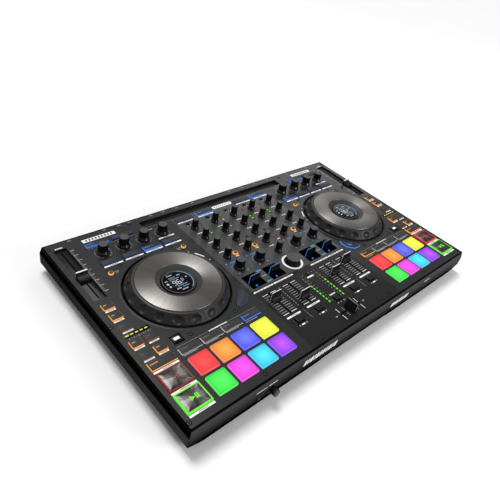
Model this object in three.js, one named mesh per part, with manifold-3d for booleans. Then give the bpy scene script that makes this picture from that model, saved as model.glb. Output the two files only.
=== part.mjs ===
// Four channel controller: a flat dark metal panel on a shallow plastic case, two jog wheels,
// two pitch faders, a mixer in the middle with knobs, paddles, channel faders and a crossfader.
// Millimetres, +Z up, X across the long side, -Y towards the user.
// The origin is the middle of the bounding box, at the bottom of the feet.
import * as THREE from "three";
import { mergeVertices } from "three/addons/utils/BufferGeometryUtils.js";
import Module from "manifold-3d";

const wasm = await Module();
wasm.setup();

// ---- driving dimensions -------------------------------------------------------------------
const PANEL_W = 719.2;          // top panel, left to right
const PANEL_D = 414.4;          // top panel, front to back
const PANEL_T = 2;              // sheet thickness
const PANEL_Z = 49;             // height of the panel's top surface over the table
const PANEL_Y = 6;              // shift that centres the part once the front knob is counted
const GAP = 0.3;                // air between separate pieces

const FLARE = 3.6;              // how far the case stands out past the panel
const SHOULDER_Z = -11;         // end of the sloping shoulder under the panel
const SIDE_Z = -33;             // bottom of the upright side wall
const FLOOR_Z = -46;            // underside of the case
const SIDE_TUCK = 30;           // how far the side's lower bevel runs inwards
const WALL = 2.6;               // case wall
const MID_HALF = 95;            // half width of the raised middle of the underside
const MID_RISE = 4;
const FOOT_R = 12;
const FOOT_H = 3;

const BOARD_Z = -18;            // top of the circuit board
const BOARD_T = 1.6;

const JOG_X = 221;
const JOG_Y = 13.5;
const JOG_R = 86.5;
const JOG_HOLE_R = 90.5;
const JOG_TOP = 16;
const DISC_R = 70.5;
const FUNNEL_R = 38;
const DISPLAY_R = 28;
const BORE_R = 19;

const DECK_COLUMNS = [160, 200.1, 240.2, 280.3];
const MIX_COLUMNS = [-98.4, -49.2, 0, 49.2, 98.4];
const EQ_ROWS = [129.9, 97.6, 65.3, 33];
const FILTER_ROW = -1.5;
const FX_ROW = 148;

const PAD = 34.2;
const PAD_H = 2.8;
const PAD_ROWS = [-131.9, -171.9];
const TRANSPORT_X = 328.5;
const TRANSPORT_W = 42.4;
const TRANSPORT_D = 35;
const CUE_Y = -131.1;
const PLAY_Y = -171;

const PITCH_X = 338;
const PITCH_Y = 120;
const PITCH_W = 22;
const PITCH_LEN = 136;
const PITCH_DEPTH = 3.5;
const PITCH_REST = [111.5, 103.3];

const FADER_SLOT_Y = -105;
const FADER_SLOT_LEN = 57;
const FADER_REST = [-93, -115, -102, -88.5];
const FADER_H = 17;
const XFADE_Y = -181;
const XFADE_LEN = 53;

const WELL = 33.4;
const WELL_Y = -40.8;
const WELL_DEPTH = 13;
const PADDLE_W = 22.5;
const PADDLE_TOP = 14;
const PADDLE_PIVOT_Z = -7;

const GROOVE_LEN = 364;
const GROOVE_W = 19.5;
const GROOVE_Y = 184.3;
const GROOVE_DEPTH = 10;

const BROWSE_Y = -40;
const PHONES_X = -213;
const PHONES_Z = -24;
const JACKS = [[-235, -24], [215, -21]];

// ---- helpers ------------------------------------------------------------------------------
const group = new THREE.Group();
group.name = "dj_controller";

const MATERIALS = {
  panel: { color: 0x3c3d3f, roughness: 0.55, metalness: 0.4 },
  case: { color: 0x1d1d1f, roughness: 0.6, metalness: 0.0 },
  board: { color: 0x1c4a2c, roughness: 0.6, metalness: 0.0 },
  metal: { color: 0x9a9690, roughness: 0.35, metalness: 0.9 },
  screen: { color: 0x0a0d12, roughness: 0.2, metalness: 0.0 },
  silicone: { color: 0xd8d8dc, roughness: 0.5, metalness: 0.0 },
  rubber: { color: 0x161617, roughness: 0.8, metalness: 0.0 },
  cap: { color: 0x141415, roughness: 0.4, metalness: 0.0 },
};

function toManifold(geometry) {
  const g = geometry.clone();
  g.deleteAttribute("normal");
  g.deleteAttribute("uv");
  const merged = mergeVertices(g, 1e-4);
  const index = merged.index.array;
  const keep = [];
  for (let i = 0; i < index.length; i += 3) {
    const a = index[i];
    const b = index[i + 1];
    const c = index[i + 2];
    if (a !== b && b !== c && a !== c) keep.push(a, b, c);
  }
  return new wasm.Manifold(new wasm.Mesh({
    numProp: 3,
    vertProperties: new Float32Array(merged.attributes.position.array),
    triVerts: new Uint32Array(keep),
  }));
}

function addNode(name, manifold, materialName) {
  const mesh = manifold.translate([0, PANEL_Y, PANEL_Z]).getMesh();
  const geometry = new THREE.BufferGeometry();
  geometry.setAttribute("position", new THREE.BufferAttribute(mesh.vertProperties.slice(), 3));
  geometry.setIndex(new THREE.BufferAttribute(mesh.triVerts.slice(), 1));
  const flat = geometry.toNonIndexed();
  flat.computeVertexNormals();
  const m = MATERIALS[materialName];
  const material = new THREE.MeshStandardMaterial(m);
  material.name = materialName;
  const node = new THREE.Mesh(flat, material);
  node.name = name;
  group.add(node);
}

// A box from its low and high corners.
function box(x0, y0, z0, x1, y1, z1) {
  const g = new THREE.BoxGeometry(x1 - x0, y1 - y0, z1 - z0);
  g.translate((x0 + x1) / 2, (y0 + y1) / 2, (z0 + z1) / 2);
  return toManifold(g);
}

// A box standing on a centre point, with its size across and its low and high Z.
function block(x, y, w, d, z0, z1) {
  return box(x - w / 2, y - d / 2, z0, x + w / 2, y + d / 2, z1);
}

// A solid of revolution about Z. Points are [radius, z]; it may be a ring or meet the axis.
function turned(points, segments) {
  const closed = [...points, points[0]].map(([r, z]) => new THREE.Vector2(Math.max(r, 0), z));
  const lathe = new THREE.LatheGeometry(closed, segments);
  lathe.rotateX(Math.PI / 2);
  let solid = toManifold(lathe);
  if (solid.volume() < 0) {
    lathe.index.array.reverse();
    solid = toManifold(lathe);
  }
  return solid;
}

function cylinder(x, y, r, z0, z1, segments = 16) {
  return turned([[0, z0], [r, z0], [r, z1], [0, z1]], segments).translate([x, y, 0]);
}

// A round bar along Y from y0 to y1.
function barY(x, z, r, y0, y1, segments = 16) {
  const bar = turned([[0, y0], [r, y0], [r, y1], [0, y1]], segments);
  return bar.rotate([-90, 0, 0]).translate([x, 0, z]);
}

// A profile in the Y-Z plane, carried along X.
function extrudeX(profile, x0, x1) {
  const shape = new THREE.Shape(profile.map(([y, z]) => new THREE.Vector2(y, z)));
  const g = new THREE.ExtrudeGeometry(shape, { depth: x1 - x0, bevelEnabled: false });
  g.rotateY(Math.PI / 2);
  g.rotateX(Math.PI / 2);
  g.translate(x0, 0, 0);
  return toManifold(g);
}

function union(list) {
  return list.reduce((a, b) => a.add(b));
}

function cut(body, list) {
  return list.reduce((a, b) => a.subtract(b), body);
}

// Stacked rectangles joined into one closed skin, from the lowest up.
function loft(levels) {
  const vertices = [];
  for (const [xHalf, yFront, yBack, z] of levels) {
    vertices.push(-xHalf, yFront, z, xHalf, yFront, z, xHalf, yBack, z, -xHalf, yBack, z);
  }
  const index = [0, 2, 1, 0, 3, 2];
  for (let i = 0; i < levels.length - 1; i++) {
    for (let k = 0; k < 4; k++) {
      const a = i * 4 + k;
      const b = i * 4 + ((k + 1) % 4);
      index.push(a, b, b + 4, a, b + 4, a + 4);
    }
  }
  const top = (levels.length - 1) * 4;
  index.push(top, top + 1, top + 2, top, top + 2, top + 3);
  return new wasm.Manifold(new wasm.Mesh({
    numProp: 3,
    vertProperties: new Float32Array(vertices),
    triVerts: new Uint32Array(index),
  }));
}

// ---- case ---------------------------------------------------------------------------------
function buildCase() {
  const x = PANEL_W / 2;
  const y = PANEL_D / 2;
  const top = -PANEL_T - GAP;
  const outer = loft([
    [x + FLARE - SIDE_TUCK, -y - 1.2, y - 8, FLOOR_Z],
    [x + FLARE - 20, -y - 2.6, y - 4, FLOOR_Z + 4],
    [x + FLARE, -y - FLARE, y + FLARE, SIDE_Z],
    [x + FLARE, -y - FLARE, y + FLARE, SHOULDER_Z],
    [x + 0.8, -y - 0.8, y + 0.8, top],
  ]);
  const inner = loft([
    [x + FLARE - SIDE_TUCK - WALL, -y - 1.2 + WALL, y - 8 - WALL, FLOOR_Z + WALL],
    [x + FLARE - 20 - WALL, -y - 2.6 + WALL, y - 4 - WALL, FLOOR_Z + 5],
    [x + FLARE - WALL, -y - FLARE + WALL, y + FLARE - WALL, SIDE_Z + 1],
    [x + FLARE - WALL, -y - FLARE + WALL, y + FLARE - WALL, SHOULDER_Z],
    [x - 2.4, -y + 2.4, y - 2.4, top + 1],
  ]);
  let body = outer.subtract(inner);
  const lift = box(-MID_HALF - WALL, -y + 1, FLOOR_Z + 1, MID_HALF + WALL, y - 11, FLOOR_Z + MID_RISE + WALL);
  body = body.add(lift);
  body = body.subtract(box(-MID_HALF, -y - 9, FLOOR_Z - 1, MID_HALF, y + 9, FLOOR_Z + MID_RISE));

  const floorTop = FLOOR_Z + WALL - 0.5;
  for (const side of [-1, 1]) {
    body = body.add(cylinder(side * JOG_X, JOG_Y, 24, floorTop, -20.3, 32));
    for (const [px, py] of [[325, 150], [325, -60], [325, -180], [115, -180], [115, 150]]) {
      body = body.add(cylinder(side * px, py, 5, floorTop, BOARD_Z - BOARD_T - GAP, 12));
    }
    for (const [px, py] of [[300, -180], [300, 175], [125, -180], [125, 175]]) {
      body = body.add(cylinder(side * px, py, FOOT_R, -PANEL_Z, FLOOR_Z + 0.5, 24));
    }
  }
  for (const [jx, jz] of JACKS) {
    body = body.add(barY(jx, jz, 6.2, -y - 2, -y + 14, 20));
    body = body.subtract(barY(jx, jz, 3.4, -y - 9, -y + 12, 20));
  }
  body = body.subtract(barY(PHONES_X, PHONES_Z, 3.7, -y - 9, -y + 9, 16));
  addNode("bottom_case", body, "case");
}

// ---- top panel ----------------------------------------------------------------------------
function buildPanel() {
  const x = PANEL_W / 2;
  const y = PANEL_D / 2;
  const parts = [box(-x, -y, -PANEL_T, x, y, 0)];
  const holes = [];

  const grooveOut = block(0, GROOVE_Y, GROOVE_LEN + 3, GROOVE_W + 3, -GROOVE_DEPTH - 1.5, -0.5);
  parts.push(grooveOut);
  holes.push(block(0, GROOVE_Y, GROOVE_LEN, GROOVE_W, -GROOVE_DEPTH, 1));

  for (const side of [-1, 1]) {
    holes.push(cylinder(side * JOG_X, JOG_Y, JOG_HOLE_R, -9, 1, 64));
    parts.push(block(side * PITCH_X, PITCH_Y, PITCH_W + 3, PITCH_LEN + 3, -PITCH_DEPTH - 1.5, -0.5));
    holes.push(block(side * PITCH_X, PITCH_Y, PITCH_W, PITCH_LEN, -PITCH_DEPTH, 1));
    holes.push(block(side * PITCH_X, PITCH_Y, 2.6, PITCH_LEN - 12, -9, 1));
    for (const column of DECK_COLUMNS) {
      holes.push(cylinder(side * column, FX_ROW, 3.7, -9, 1, 12));
      for (const row of PAD_ROWS) {
        holes.push(block(side * column, row, PAD + 1, PAD + 1, -9, 1));
      }
    }
    for (const row of [CUE_Y, PLAY_Y]) {
      holes.push(block(side * TRANSPORT_X, row, TRANSPORT_W + 1, TRANSPORT_D + 1, -9, 1));
    }
  }
  for (const column of MIX_COLUMNS) {
    for (const row of [...EQ_ROWS, FILTER_ROW]) {
      holes.push(cylinder(column, row, 3.7, -9, 1, 12));
    }
    if (column !== 0) {
      parts.push(block(column, WELL_Y, WELL + 3, WELL + 3, -WELL_DEPTH - 1.5, -0.5));
      holes.push(block(column, WELL_Y, WELL, WELL, -WELL_DEPTH, 1));
      holes.push(block(column, FADER_SLOT_Y, 2.6, FADER_SLOT_LEN, -9, 1));
    }
  }
  holes.push(cylinder(0, BROWSE_Y, 4, -9, 1));
  holes.push(block(0, XFADE_Y, XFADE_LEN, 2.6, -9, 1));
  addNode("top_plate", cut(union(parts), holes), "panel");
}

function buildBoard() {
  const board = box(-345, -190, BOARD_Z - BOARD_T, 345, 195, BOARD_Z);
  const holes = [-1, 1].map((side) => cylinder(side * JOG_X, JOG_Y, 93, -30, 0, 48));
  addNode("main_board", cut(board, holes), "board");
}

// ---- jog wheels ---------------------------------------------------------------------------
function buildJog(side, label) {
  const place = [side * JOG_X, JOG_Y, 0];
  const wheel = turned([
    [BORE_R + 0.4, -17],
    [BORE_R + 3.4, -17],
    [BORE_R + 3.4, 5.4],
    [40, 12.6],
    [72, 12.6],
    [82.5, -5],
    [JOG_R, -5],
    [JOG_R, 0.5],
    [76, 14.4],
    [DISC_R + 1, 15],
    [DISC_R, JOG_TOP],
    [FUNNEL_R, JOG_TOP],
    [29.2, 8.4],
    [BORE_R + 0.4, 8.4],
  ], 56).translate(place);
  addNode(`jog_wheel_${label}`, wheel, "metal");
  const display = turned([
    [0, -20],
    [BORE_R, -20],
    [BORE_R, 8.8],
    [DISPLAY_R, 8.8],
    [DISPLAY_R, 12.5],
    [0, 12.5],
  ], 40).translate(place);
  addNode(`jog_display_${label}`, display, "screen");
}

// ---- pads and transport buttons -----------------------------------------------------------
function buildPads(side, label) {
  const xs = DECK_COLUMNS.map((column) => side * column);
  const x0 = Math.min(...xs) - PAD / 2 - 2;
  const x1 = Math.max(...xs) + PAD / 2 + 2;
  const sheet = box(x0, PAD_ROWS[1] - PAD / 2 - 2, -6, x1, PAD_ROWS[0] + PAD / 2 + 2, -4.6);
  const pads = [];
  for (const px of xs) {
    for (const py of PAD_ROWS) {
      pads.push(block(px, py, PAD, PAD, -5, PAD_H));
    }
  }
  addNode(`pad_mat_${label}`, union([sheet, ...pads]), "silicone");
}

function buildTransport(side, label) {
  for (const [name, row] of [["cue_button", CUE_Y], ["play_button", PLAY_Y]]) {
    const cap = block(side * TRANSPORT_X, row, TRANSPORT_W, TRANSPORT_D, -8, 2.4);
    const stem = block(side * TRANSPORT_X, row, 10, 8, -15, -7);
    addNode(`${name}_${label}`, cap.add(stem), "metal");
  }
}

// ---- knobs --------------------------------------------------------------------------------
function knob(name, x, y, size) {
  const shape = turned([
    [0, BOARD_Z + 0.8],
    [3, BOARD_Z + 0.8],
    [3, 0.5],
    [size.flange, 0.5],
    [size.flange, 2.2],
    [size.body, 3.8],
    [size.body - 0.4, size.height],
    [0, size.height],
  ], size.segments);
  addNode(name, shape.translate([x, y, 0]), "rubber");
}

const BIG_KNOB = { body: 8.8, flange: 10.6, height: 19.8, segments: 16 };
const SLIM_KNOB = { body: 6.2, flange: 7.7, height: 22.2, segments: 12 };

function buildKnobs() {
  for (const [side, label] of [[-1, "left"], [1, "right"]]) {
    const order = side < 0 ? [3, 2, 1, 0] : [0, 1, 2, 3];
    order.forEach((index, i) => {
      knob(`fx_knob_${label}_${i + 1}`, side * DECK_COLUMNS[index], FX_ROW, BIG_KNOB);
    });
  }
  const rowNames = ["gain", "high", "mid", "low"];
  const centreNames = ["master_level", "booth_level", "cue_mix", "cue_level", "sampler_level"];
  const channels = [[-98.4, 1], [-49.2, 2], [49.2, 3], [98.4, 4]];
  for (const [column, number] of channels) {
    EQ_ROWS.forEach((row, i) => knob(`ch${number}_${rowNames[i]}_knob`, column, row, SLIM_KNOB));
    knob(`ch${number}_filter_knob`, column, FILTER_ROW, BIG_KNOB);
  }
  [...EQ_ROWS, FILTER_ROW].forEach((row, i) => knob(`${centreNames[i]}_knob`, 0, row, SLIM_KNOB));
}

function buildBrowse() {
  const encoder = turned([
    [0, BOARD_Z + 0.8],
    [3.4, BOARD_Z + 0.8],
    [3.4, 1],
    [15.4, 1],
    [15.2, 3.5],
    [13.2, 7],
    [13.6, 11.6],
    [12.8, 12.4],
    [0, 12.4],
  ], 36);
  addNode("browse_encoder", encoder.translate([0, BROWSE_Y, 0]), "rubber");
}

function buildPhonesKnob() {
  const y = -PANEL_D / 2;
  const shaft = barY(PHONES_X, PHONES_Z, 3, y - 5, y + 10, 16);
  const body = barY(PHONES_X, PHONES_Z, 6.6, y - 15.8, y - 4.4, 20);
  addNode("phones_knob", shaft.add(body), "rubber");
}

// ---- faders -------------------------------------------------------------------------------
function buildFaders() {
  [["left", -1, PITCH_REST[0]], ["right", 1, PITCH_REST[1]]].forEach(([label, side, rest]) => {
    const profile = [
      [rest - 14, -3],
      [rest + 3, -3],
      [rest + 1.6, 11],
      [rest - 0.6, 11],
      [rest - 5, 5.6],
      [rest - 12, 4.2],
      [rest - 13.4, 2.6],
    ];
    const x = side * PITCH_X;
    const cap = extrudeX(profile, x - 9.9, x + 9.9);
    const stem = block(x, rest - 5, 1.6, 8, -11, -2.6);
    addNode(`pitch_fader_${label}`, cap.add(stem), "cap");
  });
  const columns = MIX_COLUMNS.filter((column) => column !== 0);
  columns.forEach((x, i) => {
    const y = FADER_REST[i];
    const profile = [
      [y - 8, 0.6],
      [y + 4.6, 0.6],
      [y + 4.2, 3.5],
      [y + 0.9, FADER_H],
      [y - 0.9, FADER_H],
      [y - 3.6, 7],
      [y - 7.6, 3],
    ];
    const cap = extrudeX(profile, x - 10.7, x + 10.7);
    const stem = block(x, y - 1, 1.6, 6, -11, 1);
    addNode(`channel_fader_${i + 1}`, cap.add(stem), "cap");
  });
  const profile = [[-6.5, 0.6], [6.5, 0.6], [5.6, 4], [1.2, FADER_H], [-1.2, FADER_H], [-5.6, 4]];
  const cross = extrudeX(profile, -11, 11).rotate([0, 0, 90]).translate([0, XFADE_Y, 0]);
  addNode("crossfader", cross.add(block(0, XFADE_Y, 6, 1.6, -11, 1)), "cap");
}

// ---- paddles ------------------------------------------------------------------------------
function buildPaddles() {
  const y = WELL_Y;
  const z = PADDLE_PIVOT_Z;
  const profile = [
    [y - 4.5, z - 3.5],
    [y + 4.5, z - 3.5],
    [y + 4.5, z + 3.5],
    [y + 3.2, -1],
    [y + 2.2, PADDLE_TOP],
    [y - 0.4, PADDLE_TOP],
    [y - 3.6, 4],
    [y - 5.2, z + 3],
  ];
  const columns = MIX_COLUMNS.filter((column) => column !== 0);
  columns.forEach((x, i) => {
    const lever = extrudeX(profile, x - PADDLE_W / 2, x + PADDLE_W / 2);
    addNode(`fx_paddle_${i + 1}`, lever, "cap");
  });
}

buildCase();
buildPanel();
buildBoard();
for (const [side, label] of [[-1, "left"], [1, "right"]]) {
  buildJog(side, label);
  buildPads(side, label);
  buildTransport(side, label);
}
buildFaders();
buildPaddles();
buildBrowse();
buildPhonesKnob();
buildKnobs();

export default group;
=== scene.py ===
import math
import bmesh
import bpy
from mathutils import Matrix, Vector


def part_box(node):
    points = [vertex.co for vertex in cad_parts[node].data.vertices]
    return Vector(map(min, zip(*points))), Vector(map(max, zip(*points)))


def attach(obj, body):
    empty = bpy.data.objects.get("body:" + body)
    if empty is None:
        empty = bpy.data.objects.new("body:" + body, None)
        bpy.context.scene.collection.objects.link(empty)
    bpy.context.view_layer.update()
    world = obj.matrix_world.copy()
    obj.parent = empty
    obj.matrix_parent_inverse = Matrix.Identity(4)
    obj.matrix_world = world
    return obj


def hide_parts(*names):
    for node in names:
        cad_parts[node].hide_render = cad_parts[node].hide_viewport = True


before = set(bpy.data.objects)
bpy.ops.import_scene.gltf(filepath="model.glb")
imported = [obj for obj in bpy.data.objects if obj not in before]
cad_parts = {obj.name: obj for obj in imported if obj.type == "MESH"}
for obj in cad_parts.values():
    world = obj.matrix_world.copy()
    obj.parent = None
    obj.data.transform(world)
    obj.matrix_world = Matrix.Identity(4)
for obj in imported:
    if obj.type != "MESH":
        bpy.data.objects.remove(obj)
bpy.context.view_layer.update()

MM = 0.001
LOW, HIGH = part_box("top_plate")
PY = (LOW.y + HIGH.y) / 2 / MM          # panel middle, in mm in the row frame
PZ = HIGH.z / MM                        # panel's top surface
ROOT = "chassis"
SCENE = bpy.context.scene

# Layout in mm, from the panel's middle and its top surface. The right deck's numbers serve both decks.
HALF_W, HALF_D = 359.6, 207.2           # half of the panel
FRONT_Y, REAR_Y = -210.5, 210.6         # faces that carry the front's print and the rear's sockets
JOG_X, JOG_Y = 221, 13.5
PITCH_X, PITCH_Y = 338, 120             # middle of a pitch fader's recess
COLUMNS = (160, 200.1, 240.2, 280.3)    # pads, and the keys in line with them
PAD_ROWS = (-131.9, -171.9)
PAD_LABELS_Y, MODE_KEYS_Y = -89.8, -99.6
BLOCK_X = 328.7                         # outer block of keys
CHANNELS = (-98.4, -49.2, 49.2, 98.4)
STRIPS = (-98.4, -49.2, 0, 49.2, 98.4)  # the channels and the centre strip
KNOB_ROWS = (129.9, 97.6, 65.3, 33.0)
FILTER_Y, PADDLE_Y, SWITCH_Y = -1.5, -40.8, -150.6
METER_TOP = -78.2
GROOVE_Y = 184.3


# ---- materials ------------------------------------------------------------------------------
class Nodes:
    """A small helper for writing node trees."""

    def __init__(self, name):
        self.mat = bpy.data.materials.new(name)
        self.mat.use_nodes = True
        self.tree = self.mat.node_tree
        self.bsdf = self.tree.nodes["Principled BSDF"]
        self.coord = self.add("ShaderNodeTexCoord").outputs["Object"]

    def add(self, kind, **values):
        node = self.tree.nodes.new(kind)
        for key, value in values.items():
            if hasattr(node, key) and not isinstance(value, tuple):
                setattr(node, key, value)
            else:
                node.inputs[key].default_value = value
        return node

    def link(self, a, b):
        self.tree.links.new(a, b)

    def drive(self, socket, a):
        """Links a node's output to one of the shader's own sockets."""
        self.link(a, self.bsdf.inputs[socket])

    def set(self, **values):
        """Sets the shader's own sockets; _ stands for a space."""
        for key, value in values.items():
            self.bsdf.inputs[key.replace("_", " ")].default_value = value

    def math(self, op, a, b=0.0, c=None):
        node = self.add("ShaderNodeMath", operation=op)
        for i, value in enumerate((a, b) if c is None else (a, b, c)):
            if isinstance(value, (int, float)):
                node.inputs[i].default_value = value
            else:
                self.link(value, node.inputs[i])
        return node.outputs[0]

    def noise(self, scale, detail=3.0, coord=None):
        node = self.add("ShaderNodeTexNoise")
        node.inputs["Scale"].default_value = scale
        node.inputs["Detail"].default_value = detail
        self.link(coord or self.coord, node.inputs["Vector"])
        return node.outputs["Fac"]

    def ramp(self, fac, stops):
        node = self.add("ShaderNodeValToRGB")
        elements = node.color_ramp.elements
        while len(elements) < len(stops):
            elements.new(0.5)
        for element, (pos, colour) in zip(elements, stops):
            element.position = pos
            element.color = (*colour[:3], 1)
        self.link(fac, node.inputs["Fac"])
        return node.outputs["Color"]

    def mix(self, fac, a, b, blend="MIX"):
        node = self.add("ShaderNodeMix", data_type="RGBA", blend_type=blend)
        for socket, value in ((node.inputs[0], fac), (node.inputs[6], a), (node.inputs[7], b)):
            if isinstance(value, (int, float)):
                socket.default_value = value
            elif isinstance(value, tuple):
                socket.default_value = (*value[:3], 1)
            else:
                self.link(value, socket)
        return node.outputs[2]

    def bump(self, height, strength, distance=0.0002):
        node = self.add("ShaderNodeBump")
        node.inputs["Strength"].default_value = strength
        node.inputs["Distance"].default_value = distance
        self.link(height, node.inputs["Height"])
        self.drive("Normal", node.outputs["Normal"])

    def xyz(self):
        node = self.add("ShaderNodeSeparateXYZ")
        self.link(self.coord, node.inputs[0])
        return node.outputs

    def radius(self, x, y):
        return self.math("SQRT", self.math("ADD", self.math("MULTIPLY", x, x), self.math("MULTIPLY", y, y)))


def srgb(r, g, b):
    """0 to 255 as seen, to linear."""
    return tuple(((c / 255 + 0.055) / 1.055) ** 2.4 if c > 10 else c / 255 / 12.92 for c in (r, g, b))


def surface(name, colour, rough=0.5, metal=0.0, vary=0.12, grain=900.0, bump=0.15, gloss=0.5):
    """Paint, plastic, rubber or metal, with a fine grain and a slight change of tone and gloss."""
    n = Nodes(name)
    base = srgb(*colour)
    dark = tuple(c * (1 - vary) for c in base)
    light = tuple(min(1, c * (1 + vary)) for c in base)
    n.drive("Base Color", n.ramp(n.noise(28.0, 4.0), [(0.3, dark), (0.7, light)]))
    fine = n.noise(grain, 2.0)
    n.drive("Roughness", n.math("MULTIPLY_ADD", fine, 0.12, rough - 0.06))
    n.bump(fine, bump)
    n.set(Metallic=metal, Specular_IOR_Level=gloss)
    return n.mat


def lamp(name, colour, power=1.0, base=0.12):
    """A lit translucent piece: a little uneven, as light through a diffuser is."""
    n = Nodes(name)
    c = srgb(*colour)
    tone = n.ramp(n.noise(160.0, 2.0), [(0.3, tuple(v * 0.85 for v in c)), (0.7, c)])
    n.drive("Emission Color", tone)
    n.drive("Base Color", n.mix(base, (0.02, 0.02, 0.02), tone))
    n.set(Emission_Strength=power, Specular_IOR_Level=0.2, Roughness=0.35)
    return n.mat


def pad_material(name, edge, middle):
    """A lit silicone pad: light in the middle, deeper towards the edges, bright side walls."""
    reach, half, wall_at = 0.021, 0.02, 0.0162      # metres from the pad's middle
    n = Nodes(name)
    x, y, z = n.xyz()
    glow = n.ramp(n.math("MULTIPLY", n.radius(x, y), 1 / reach), [(0.0, srgb(*middle)), (1.0, srgb(*edge))])
    side = n.math("MAXIMUM", n.math("ABSOLUTE", x), n.math("ABSOLUTE", y))
    groove = n.ramp(n.math("MULTIPLY", side, 1 / half),
                    [(0.70, (1, 1, 1)), (0.76, (0.72, 0.72, 0.72)), (0.80, (1, 1, 1))])
    wall = tuple(min(1.0, c + 0.10) for c in srgb(*edge))
    tone = n.mix(n.math("GREATER_THAN", side, wall_at), n.mix(1.0, glow, groove, "MULTIPLY"), wall)
    grain = n.noise(420.0, 3.0)
    mottle = n.ramp(grain, [(0.3, (0.2, 0.2, 0.2)), (0.7, (1, 1, 1))])
    n.drive("Emission Color", n.mix(0.10, tone, mottle, "MULTIPLY"))
    n.drive("Base Color", n.mix(0.92, tone, (0.03, 0.03, 0.03)))
    n.set(Emission_Strength=0.96, Specular_IOR_Level=0.12, Roughness=0.55)
    n.bump(grain, 0.08)
    return n.mat


def panel_material():
    """Dark grey powder coat. The mixer's upper field is lighter and its lower field darker: partly the coat's
    own tones, partly painted light and painted shade. Recessed faces are painted near black, a painted shade;
    in the tablet groove they are mid grey.
    """
    mixer_x, mixer_front, mixer_rear, groove_x = 0.1225, -0.0605, 0.1725, 0.186     # metres
    n = Nodes("panel_paint_and_painted_light")
    x, y, z = n.xyz()
    ax = n.math("ABSOLUTE", x)
    yp = n.math("SUBTRACT", y, PY * MM)
    in_mixer = n.math("LESS_THAN", ax, mixer_x)
    upper = n.math("MULTIPLY", in_mixer, n.math("GREATER_THAN", yp, mixer_front))
    upper = n.math("MULTIPLY", upper, n.math("LESS_THAN", yp, mixer_rear))
    lower = n.math("MULTIPLY", in_mixer, n.math("LESS_THAN", yp, mixer_front))
    tone = n.ramp(n.noise(14.0, 4.0), [(0.3, srgb(31, 32, 33)), (0.7, srgb(36, 36, 37))])
    # The upper field is partly a lighter coat and partly a painted reflection; the lower field is partly a
    # darker coat and partly painted shade.
    tone = n.mix(upper, tone, srgb(66, 66, 66))
    tone = n.mix(lower, tone, srgb(21, 21, 22))
    # Faces below the top surface, in holes and recesses, are painted near black: painted shade. In the tablet
    # groove they are mid grey.
    well = n.math("LESS_THAN", z, (PZ - 0.25) * MM)
    groove = n.math("MULTIPLY", n.math("LESS_THAN", ax, groove_x), n.math("GREATER_THAN", yp, mixer_rear))
    n.drive("Base Color", n.mix(well, tone, n.mix(groove, srgb(12, 12, 13), srgb(46, 46, 47))))
    fleck = n.noise(2600.0, 2.0)
    n.drive("Roughness", n.math("MULTIPLY_ADD", fleck, 0.12, 0.24))
    n.bump(fleck, 0.08, 0.0001)
    n.set(Specular_IOR_Level=0.25)
    return n.mat


def shaded_moulding(name, axis, scale, start, stops):
    """The case's satin black plastic with painted shade: its tone changes slowly along one axis of the part,
    as the light on it does.
    """
    n = Nodes(name)
    along = n.math("MULTIPLY_ADD", n.xyz()[axis], scale, start)
    tone = n.ramp(along, [(at, srgb(grey, grey, grey + 1)) for at, grey in stops])
    cloud = n.ramp(n.noise(26.0, 3.0), [(0.3, (0.86, 0.86, 0.86)), (0.7, (1, 1, 1))])
    n.drive("Base Color", n.mix(1.0, tone, cloud, "MULTIPLY"))
    fine = n.noise(1500.0, 2.0)
    n.drive("Roughness", n.math("MULTIPLY_ADD", fine, 0.12, 0.44))
    n.bump(fine, 0.10)
    n.set(Specular_IOR_Level=0.01)
    return n.mat


def spun_metal(name, colour, spokes, depth, rings=9000.0):
    """Turned metal. The bright fans come from the anisotropic reflection, so they stay with the light.
    Fine rings lie round the middle. Random spokes darken the colour in sectors, as painted reflection rays:
    more of them for a larger number."""
    n = Nodes(name)
    x, y, z = n.xyz()
    r = n.radius(x, y)
    across = n.add("ShaderNodeCombineXYZ")
    n.link(n.math("MULTIPLY", r, rings), across.inputs[0])
    ring = n.noise(1.0, 2.0, across.outputs[0])
    spread = n.add("ShaderNodeCombineXYZ")
    for i, c in enumerate((x, y)):
        n.link(n.math("MULTIPLY", n.math("DIVIDE", c, r), spokes), spread.inputs[i])
    fan = n.noise(1.0, 2.0, spread.outputs[0])
    rings_tone = n.ramp(ring, [(0.3, (0.35, 0.35, 0.35)), (0.7, (1, 1, 1))])
    painted_ray_tone = n.ramp(fan, [(0.36, (0.25, 0.25, 0.25)), (0.64, (1, 1, 1))])
    tone = n.mix(0.22, srgb(*colour), rings_tone, "MULTIPLY")
    n.drive("Base Color", n.mix(depth, tone, painted_ray_tone, "MULTIPLY"))
    n.drive("Roughness", n.math("MULTIPLY_ADD", ring, 0.16, 0.30))
    n.bump(ring, 0.12, 0.0001)
    n.drive("Tangent", n.add("ShaderNodeTangent", direction_type="RADIAL", axis="Z").outputs[0])
    # A quarter turn makes the metal rough across the rings, not along them.
    n.set(Metallic=1.0, Anisotropic=0.8, Anisotropic_Rotation=0.25)
    return n.mat


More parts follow.
